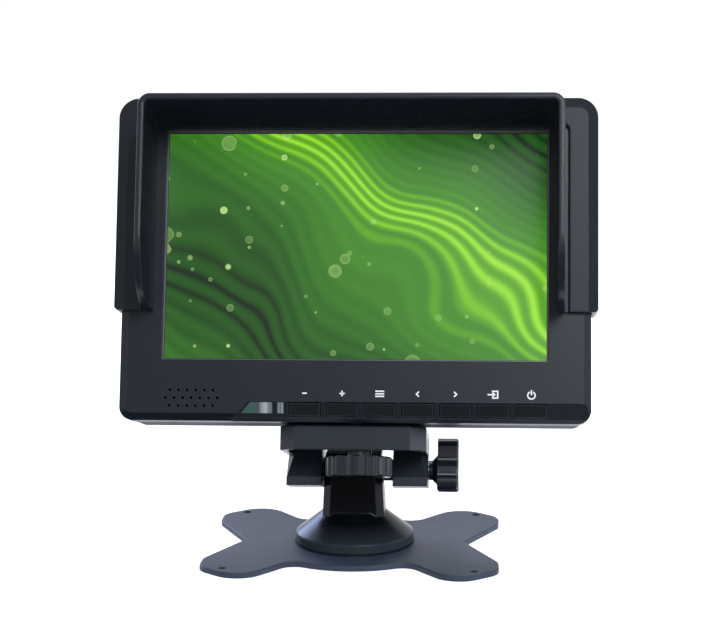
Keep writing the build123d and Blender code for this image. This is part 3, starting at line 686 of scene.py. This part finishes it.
@dataclass
class Stand(Assembly):
    """Base plate, swivel and column."""

    def finishes(self) -> Iterable[Dressing]:
        """Give the painted plate, its rubber pads and the moulded column.

        Returns:
            Each finish and the nodes that take it.
        """
        # baked powder: a slate-blue satin that turns pale towards the light
        yield PowderCoat("steel, blue-grey powder coat", "#2f3848", "#364051"), ["base_plate"]
        # moulded rubber: dull charcoal without a highlight
        yield DullBlack("nitrile rubber pads, moulded", "#17181a", "#2b2c2e"), ["base_pads"]
        # satin tool: nearly black, one soft highlight down each facet, a painted highlight on the
        # cone's foot and along the edges
        yield MouldedPlastic("ABS column, satin moulded", "#07090c", 0.25, edge_mm=1.0, gloss=0.15,
                             pale_patch="#2c333b"), ["column"]
        # acetal: a dull black line below the cone's rim
        yield MouldedPlastic("acetal bearing disc, moulded", "#050607", 0.5, gloss=0.1), [
            "bearing_disc"]
        # zinc: pale grey metal with fine tool lines
        yield PlatedMetal("steel swivel screw, zinc plated", "#b9bcc0", 0.35), ["swivel_screw"]


@dataclass
class TiltHead(Assembly):
    """Tilting head with its knob and tripod thumbwheel."""

    def finishes(self) -> Iterable[Dressing]:
        """Give the satin mouldings, the glossier grips and the plated fasteners.

        Returns:
            Each finish and the nodes that take it.
        """
        # satin tool: charcoal faces with broad highlights on their soft corners and a pale painted
        # highlight along each edge
        yield MouldedPlastic("ABS tilt head, satin moulded", "#20262d", 0.25, edge_mm=0.9,
                             gloss=0.23), ["tilt_head", "tilt_spacer"]
        # fingers polish the grips: darker, with brighter lines along lobes and flutes, from their
        # rounding and a painted highlight
        yield MouldedPlastic("ABS grips, moulded", "#131920", 0.24, edge_mm=0.5, gloss=0.27), [
            "tilt_knob", "thumbwheel"]
        # moulded rubber: dull charcoal without a highlight
        yield DullBlack("nitrile rubber mat, moulded", "#151618", "#27282a"), ["head_mat"]
        # zinc: pale grey metal with fine tool lines
        yield PlatedMetal("steel bolts, zinc plated", "#b9bcc0", 0.32), [
            "tilt_bolt", "tripod_stud"]


@dataclass
class Housing(Assembly):
    """Both shells of the monitor, with the sockets and what lies inside."""

    def finishes(self) -> Iterable[Dressing]:
        """Give the grained black shells, the plated sockets and the hidden boards.

        Returns:
            Each finish and the nodes that take it.
        """
        # fine grain: an even satin black, slightly blue
        yield MouldedPlastic("ABS bezel, fine spark-eroded grain", "#0d151d", 0.36, gloss=0.23), [
            "front_bezel"]
        # coarse grain: the same black, duller
        yield MouldedPlastic("ABS rear cover, coarse spark-eroded grain", "#0f1720", 0.58,
                             grain_mm=0.6, grain_depth_mm=0.025, gloss=0.23), ["rear_cover"]
        # zinc: grey metal deep in the screw holes
        yield PlatedMetal("steel housing screws, zinc plated", "#a9acb0", 0.34), ["housing_screws"]
        # nickel: a bright, faintly warm shell
        yield PlatedMetal("steel socket shell, nickel plated", "#c4c4c2", 0.25), ["hdmi_socket"]
        # nylon: glossy black rings in the back
        yield MouldedPlastic("nylon sockets, moulded", "#0c0c0d", 0.35), [
            "av_socket", "earphone_jack", "dc_jack"]
        # turned brass: warm yellow with bright lines
        yield PlatedMetal("brass insert, turned", "#c9a55a", 0.3), ["tripod_insert"]
        # solder mask: green lacquer over paler tracks
        yield Board("glass-fibre boards, solder mask", "#0f4a25", "#1d6a35"), [
            "main_board", "key_board"]
        # stamped steel: plain grey metal
        yield PlatedMetal("steel switch caps, stamped", "#aeb0b2", 0.4), ["tact_switches"]
        # pressed paper: dull black behind the grille's holes
        yield DullBlack("paper speaker cone, pressed", "#0d0d0e", "#1b1b1c"), ["speaker"]


@dataclass
class Screen(Assembly):
    """The lit panel, its light box and its metal frame."""

    half_width_mm: float = 76.2
    half_height_mm: float = 45.72
    centre_up_mm: float = 70.72         # lit area's centre above the housing's underside

    def build(self) -> None:
        """Keep the picture's light off the hood, as studio lamps outshine a dim panel."""
        panel = self.frame["nodes"]["lcd_panel"]
        panel.visible_diffuse = False
        panel.visible_glossy = False

    def finishes(self) -> Iterable[Dressing]:
        """Give the lit picture, and the frame that shows as a thin line round it.

        Returns:
            Each finish and the nodes that take it.
        """
        face = Face(self.frame)
        centre = face.at(0.0, 0.0, self.centre_up_mm) / MM
        # film over lit crystals: even green light with no sharp reflection in front
        yield LitScreen("liquid crystal panel, anti-glare film", tuple(centre), face.lean,
                        self.half_width_mm, self.half_height_mm), ["lcd_panel"]
        # rolled steel: a grey hairline between picture and bezel
        yield PlatedMetal("steel screen frame, rolled", "#5d6063", 0.4), ["lcd_frame"]
        # coated steel: dull black
        yield DullBlack("steel light box, black coated", "#060607", "#0a0a0b"), [
            "backlight_module"]


@dataclass
class SunHood(Assembly):
    """Slip-on frame and canopy."""

    def finishes(self) -> Iterable[Dressing]:
        """Give two satin black mouldings; the canopy's grain is finer.

        Returns:
            Each finish and the nodes that take it.
        """
        # satin tool: black with a soft pale highlight painted along each edge
        yield MouldedPlastic("ABS hood frame, satin moulded", "#12191f", 0.3, edge_mm=0.9,
                             gloss=0.18), ["hood_frame"]
        # finer tool: smoother, so that the roof's front edge and the arms catch more light; its
        # black is paler than the frame's, painted light for its lit walls
        yield MouldedPlastic("ABS hood canopy, fine satin moulded", "#181e24", 0.28,
                             grain_depth_mm=0.003, edge_mm=0.9, gloss=0.24), ["hood_canopy"]


class Face:
    """The screen side of the housing: its place and lean, read from the frame's joints."""

    forward_mm: float = 42.0            # screen side in front of the tilt axis
    underside_mm: float = 16.7          # housing's underside above the tilt axis
    centre_mm: float = 2.0              # housing's centre beside the swivel axis

    def __init__(self, frame: Mapping[str, object]) -> None:
        """Read the tilt axis and the housing's up direction.
        """
        self.up = Vector(frame_joint(frame, "monitor_pan")["axis"]).normalized()
        self.lean = math.atan2(self.up.y, self.up.z)
        self.inward = Vector((0.0, self.up.z, -self.up.y))
        pivot = Vector(frame_joint(frame, "head_tilt")["pos_m"])
        self.foot = pivot + MM * (self.centre_mm * ACROSS - self.forward_mm * self.inward
                                  + self.underside_mm * self.up)

    def at(self, across_mm: float, deep_mm: float, up_mm: float) -> Vector:
        """Give a point of the housing in the frame.

        Args:
            across_mm: to the right of its centre.
            deep_mm: behind its screen side.
            up_mm: above its underside.

        Returns:
            The point in metres.
        """
        return self.foot + MM * (across_mm * ACROSS + deep_mm * self.inward + up_mm * self.up)


def arc(radius: float, start: float, end: float, centre: Point, steps: int = 24) -> list[Point]:
    """Give points along an arc.

    Args:
        radius: in millimetres.
        start: first angle in degrees, from the right, counter-clockwise.
        end: last angle.
        centre: the arc's centre.
        steps: number of chords.

    Returns:
        The points.
    """
    angles = [math.radians(start + (end - start) * i / steps) for i in range(steps + 1)]
    return [(centre[0] + radius * math.cos(a), centre[1] + radius * math.sin(a)) for a in angles]


class Sign(Enum):
    """A sign printed above a key, as strokes in millimetres about its centre."""

    MINUS = (((-0.75, 0.0), (0.75, 0.0)),)
    PLUS = (((-0.9, 0.0), (0.9, 0.0)), ((0.0, -0.9), (0.0, 0.9)))
    MENU = (((-1.6, 1.0), (1.6, 1.0)), ((-1.6, 0.0), (1.6, 0.0)), ((-1.6, -1.0), (1.6, -1.0)))
    LEFT = (((0.45, 0.9), (-0.45, 0.0), (0.45, -0.9)),)
    RIGHT = (((-0.45, 0.9), (0.45, 0.0), (-0.45, -0.9)),)
    INPUT = (((-0.4, 1.35), (1.7, 1.35), (1.7, -1.35), (-0.4, -1.35)), ((-2.1, 0.0), (0.6, 0.0)),
             ((-0.3, 0.8), (0.6, 0.0), (-0.3, -0.8)))
    POWER = (tuple(arc(1.45, 125, 415, (0.0, -0.15))), ((0.0, 0.1), (0.0, 1.75)))


@dataclass
class KeyStrip(Assembly):
    """Seven keys, the remote control window, the status light and the printed signs."""

    first_mm: float = -19.407           # first sign, from the housing's centre
    pitch_mm: float = 14.936
    sign_up_mm: float = 11.1            # above the housing's underside
    stroke_mm: float = 0.55
    ink_mm: float = 0.03
    end_share: float = 0.6              # how far a stroke's ends run on, in half strokes
    mitre_limit: float = 0.4            # keeps the points of sharp corners short
    names: Sequence[str] = ("minus", "plus", "menu", "left", "right", "input", "power")
    ink: Ink = Ink("white ink, pad printed", "#e9ebec")
    # a green field, a dark gap and a pale field
    window_tints: Sequence[Stop] = (
        (0.0, "#35574b"), (0.42, "#3a564f"), (0.56, "#474c4d"), (0.66, "#85898a"),
        (0.8, "#a2a5a6"), (0.88, "#717677"), (1.0, "#5d6364"))
    # two pale fields with a dark gap between them
    pipe_tints: Sequence[Stop] = (
        (0.0, "#6f7576"), (0.4, "#6f7576"), (0.5, "#3f4445"), (0.62, "#7b8182"), (1.0, "#7b8182"))

    def finishes(self) -> Iterable[Dressing]:
        """Give the smooth keys and the clear pieces beside them.

        Returns:
            Each finish and the nodes that take it.
        """
        # smooth tool: black with a crisp highlight along each key's edge, from its rounding and a
        # painted highlight
        yield MouldedPlastic("ABS keys, smooth moulded", "#0c0f13", 0.3, edge_mm=0.25,
                             gloss=0.22), ["button_" + name for name in self.names]
        # polished acrylic: glossy, dark green at its left and pale at its right
        left_mm, right_mm = (corner[0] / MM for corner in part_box("remote_window"))
        yield TintedResin("acrylic remote window, polished", self.window_tints, left_mm,
                          right_mm), ["remote_window"]
        # polished acrylic: glossy grey, split by a dark line
        left_mm, right_mm = (corner[0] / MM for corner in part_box("status_light_pipe"))
        yield TintedResin("acrylic light pipe, polished", self.pipe_tints, left_mm,
                          right_mm), ["status_light_pipe"]
        # cast epoxy: glossy and nearly black
        yield TintedResin("epoxy receiver and lamp, cast", ((0.0, "#101114"), (1.0, "#1a1b1f"))), [
            "remote_receiver", "status_led"]

    def build(self) -> None:
        """Print one sign above each key."""
        face = Face(self.frame)
        material = self.ink.material()
        for index, (name, sign) in enumerate(zip(self.names, Sign, strict=True)):
            centre = (self.first_mm + index * self.pitch_mm, self.sign_up_mm)
            piece = self.printed("sign_" + name, sign, face, centre)
            piece.data.materials.append(material)
            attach(piece, "monitor")
            LOG.info("%s: printed", piece.name)

    def printed(self, name: str, sign: Sign, face: Face, centre: Point) -> bpy.types.Object:
        """Make one sign as ribbons of ink.

        Args:
            name: the piece's name.
            sign: its strokes.
            face: the surface that it is printed on.
            centre: its place across and up that surface.

        Returns:
            The piece, linked to the scene.
        """
        mesh = bmesh.new()
        for stroke in sign.value:
            self.ribbon(mesh, [(x + centre[0], z + centre[1]) for x, z in stroke], face)
        data = bpy.data.meshes.new(name)
        bmesh.ops.recalc_face_normals(mesh, faces=mesh.faces)
        mesh.to_mesh(data)
        mesh.free()
        piece = bpy.data.objects.new(name, data)
        bpy.context.scene.collection.objects.link(piece)
        return piece

    def ribbon(self, mesh: bmesh.types.BMesh, points: Sequence[Point], face: Face) -> None:
        """Add one stroke, a closed thin ribbon with mitred corners.

        Args:
            mesh: takes the ribbon.
            points: the stroke's middle line.
            face: the surface below it.
        """
        line = [Vector(p) for p in points]
        half = self.stroke_mm / 2
        rows = []
        for i, here in enumerate(line):
            before = (here - line[i - 1]).normalized() if i else (line[1] - here).normalized()
            after = (line[i + 1] - here).normalized() if i + 1 < len(line) else before
            along = (before + after).normalized()
            side = Vector((-along.y, along.x)) * half / max(self.mitre_limit, along.dot(before))
            end = along * half * self.end_share * ((i + 1 == len(line)) - (i == 0))
            rows.append([mesh.verts.new(face.at(p.x, deep, p.y))
                         for p in (here + side + end, here - side + end)
                         for deep in (-self.ink_mm, self.ink_mm)])
        for a, b in zip(rows, rows[1:]):
            for i, j in ((0, 1), (1, 3), (3, 2), (2, 0)):
                mesh.faces.new((a[i], a[j], b[j], b[i]))
        for a in (rows[0], rows[-1]):
            mesh.faces.new((a[0], a[1], a[3], a[2]))


# ---- studio -----------------------------------------------------------------------

@dataclass(frozen=True)
class Lamp:
    """A soft box: where it stands, seen from the object's middle, and what it gives."""

    name: str
    azimuth: float                      # degrees from the viewer's side, to the right
    elevation: float
    distance: float
    size: tuple[float, float]           # across and up
    power: float
    colour: str

    def build(self, target: Vector) -> None:
        """Hang the lamp and point it.

        Args:
            target: the point that it faces.
        """
        light = bpy.data.lights.new(self.name, "AREA")
        light.shape = "RECTANGLE"
        light.size, light.size_y = self.size
        light.energy = self.power
        light.color = linear(self.colour)[:3]
        away = direction(self.azimuth, self.elevation)
        lamp = bpy.data.objects.new(self.name, light)
        lamp.location = target + self.distance * away
        lamp.rotation_euler = away.to_track_quat("Z", "Y").to_euler()
        bpy.context.scene.collection.objects.link(lamp)


@dataclass(frozen=True)
class Sheet:
    """A flat sheet of the studio, level with the floor or just above it."""

    name: str
    low: Point                          # its left corner on the viewer's side
    high: Point                         # its right corner on the far side
    height: float
    finish: Finish

    def build(self) -> bpy.types.Object:
        """Lay the sheet.

        Returns:
            The sheet, linked to the scene.
        """
        (left, front), (right, back) = self.low, self.high
        data = bpy.data.meshes.new(self.name)
        data.from_pydata([(left, front, self.height), (right, front, self.height),
                          (right, back, self.height), (left, back, self.height)],
                         [], [(0, 1, 2, 3)])
        data.materials.append(self.finish.material())
        piece = bpy.data.objects.new(self.name, data)
        bpy.context.scene.collection.objects.link(piece)
        return piece


@dataclass
class Studio:
    """White sweep, soft lamps and the camera."""

    # matt paper: white all over, grey only in the object's soft shadow
    sweep: Sheet = Sheet("floor", (-6.0, -6.0), (6.0, 6.0), 0.0,
                         SweepPaper("paper sweep, matt white", "#f4f4f4", 0.52, 0.75))
    # black card: only glosses show it, and it keeps faces that lean forward deep black
    flag: Sheet = Sheet("card", (-0.6, -1.2), (0.6, -0.057), 0.003,
                        DullBlack("black card, matt", "#020202", "#030303"))
    lamps: Sequence[Lamp] = (
        Lamp("key_box", 22, 32, 1.3, (0.45, 0.45), 11.5, "#f4f8ff"),
        Lamp("side_box", 87, 18, 1.2, (0.3, 0.9), 3.5, "#eef4ff"),
        Lamp("top_box", 165, 64, 1.4, (0.8, 0.5), 9.0, "#eef4ff"),
        Lamp("cool_box", -142, 24, 1.2, (0.4, 0.7), 7.0, "#b4c8ff"))
    world_diffuse: float = 0.4          # the surroundings' strength as a light
    target: Vector = field(default_factory=lambda: Vector((1.052, 0.0, 95.244)) * MM)
    azimuth: float = 3.873
    elevation: float = 9.554
    roll: float = -0.319
    distance: float = 0.837647
    focal_px: float = 2047.738          # focal length as a number of the picture's pixels
    width_px: int = 712
    clip_start: float = 0.01

    def build(self) -> None:
        """Lay the floor, light it and set the camera."""
        self.floor()
        self.card()
        self.world()
        for lamp in self.lamps:
            lamp.build(self.target)
        self.camera()
        bpy.context.scene.view_settings.view_transform = "Standard"

    def floor(self) -> None:
        """Lay the white sweep under the object."""
        floor = self.sweep.build()

    def card(self) -> None:
        """Lay the black card in front of the object, for glosses only."""
        card = self.flag.build()
        for kind in ("camera", "diffuse", "transmission", "volume_scatter", "shadow"):
            setattr(card, "visible_" + kind, False)

    def world(self) -> None:
        """Make the surroundings white to the eye and in glosses, and dimmer as a light."""
        world = bpy.data.worlds.new("studio")
        world.use_nodes = True
        tree = world.node_tree
        tree.nodes.clear()
        power = add(tree, "MapRange", {"Value": seen(tree), "To Min": self.world_diffuse,
                                       "To Max": 1.0})
        sky = add(tree, "Background", {"Color": linear("#ffffff"), "Strength": power.outputs[0]})
        add(tree, "OutputWorld", {"Surface": sky.outputs[0]})
        bpy.context.scene.world = world

    def camera(self) -> None:
        """Set the camera that gives the object's usual view."""
        turn, roll = math.radians(self.azimuth), math.radians(self.roll)
        back = direction(self.azimuth, self.elevation)
        right = Vector((math.cos(turn), math.sin(turn), 0.0))
        up = back.cross(right)
        across = math.cos(roll) * right + math.sin(roll) * up
        upward = math.cos(roll) * up - math.sin(roll) * right
        data = bpy.data.cameras.new("camera")
        data.sensor_fit = "HORIZONTAL"
        data.lens = self.focal_px * data.sensor_width / self.width_px
        data.clip_start = self.clip_start
        camera = bpy.data.objects.new("camera", data)
        turned = Matrix((across, upward, back)).transposed().to_4x4()
        camera.matrix_world = Matrix.Translation(self.target + self.distance * back) @ turned
        bpy.context.scene.collection.objects.link(camera)
        bpy.context.scene.camera = camera


def main() -> None:
    """Load the frame, dress each sub-assembly, print the signs and set up the studio."""
    logging.basicConfig(level=logging.INFO, format="%(name)s: %(message)s")
    bpy.ops.wm.read_factory_settings(use_empty=True)
    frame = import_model()
    for kind in (Stand, TiltHead, Housing, Screen, KeyStrip, SunHood):
        assembly = kind(frame)
        assembly.dress()
        assembly.build()
        LOG.info("%s: done", kind.__name__)
    Studio().build()


if __name__ == "__main__":
    main()
